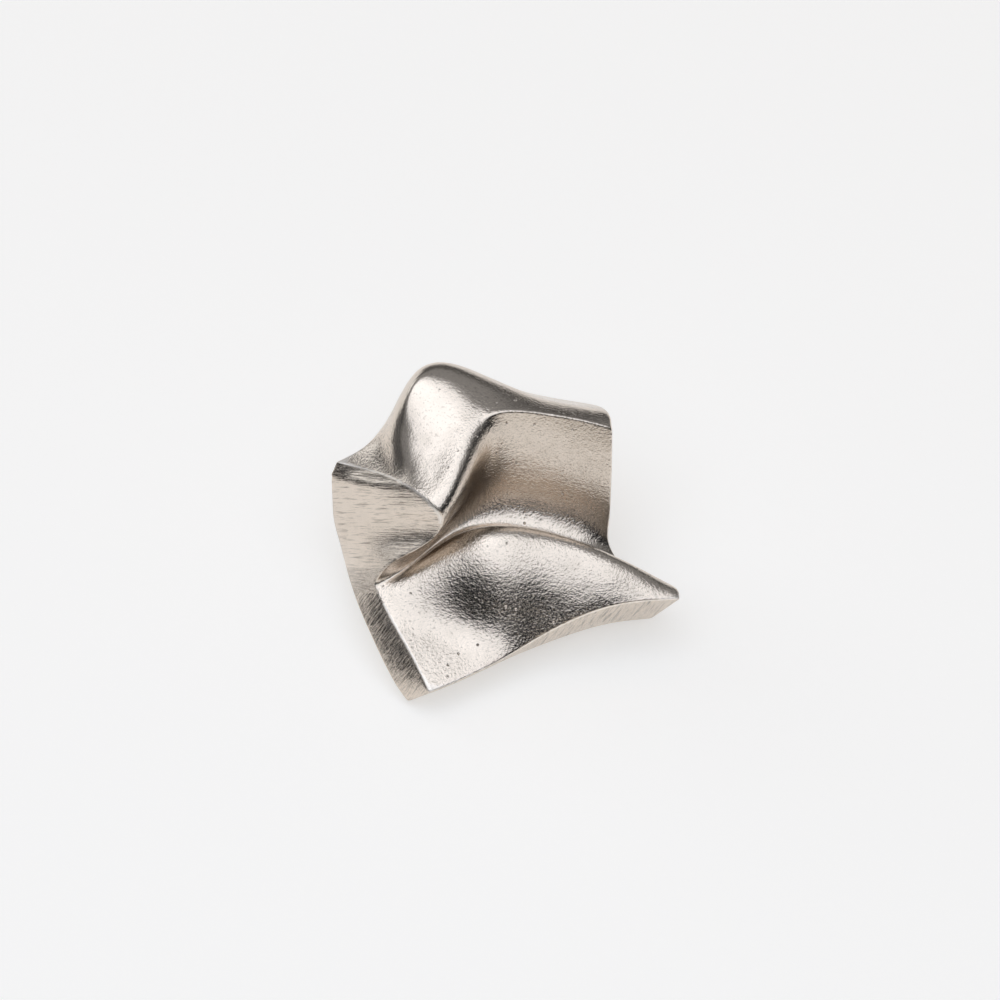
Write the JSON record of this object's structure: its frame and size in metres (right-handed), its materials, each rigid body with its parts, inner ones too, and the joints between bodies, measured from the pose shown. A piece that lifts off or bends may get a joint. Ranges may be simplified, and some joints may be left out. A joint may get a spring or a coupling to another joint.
{
  "type": "cabinet knob",
  "caption": "Sculptural cabinet knob of satin nickel: a square slab pinched and folded like clay, on a short round foot with a tapped blind hole for a furniture screw.",
  "frame": {"origin": "centre of the head's bounding box at the furniture face, on the axis of the round foot and its screw hole", "axes": "+Z away from the furniture, along the foot's axis; +X towards the pointed right tip of the head; -Y towards the flat front-left corner"},
  "size_m": [0.0406, 0.036, 0.0249],
  "materials": {
    "satin_nickel": "satin nickel over cast metal, with a fine hammered grain and file marks on the cut sides"
  },
  "bodies": {
    "root": {"knob": "satin_nickel"}
  },
  "joints": []
}
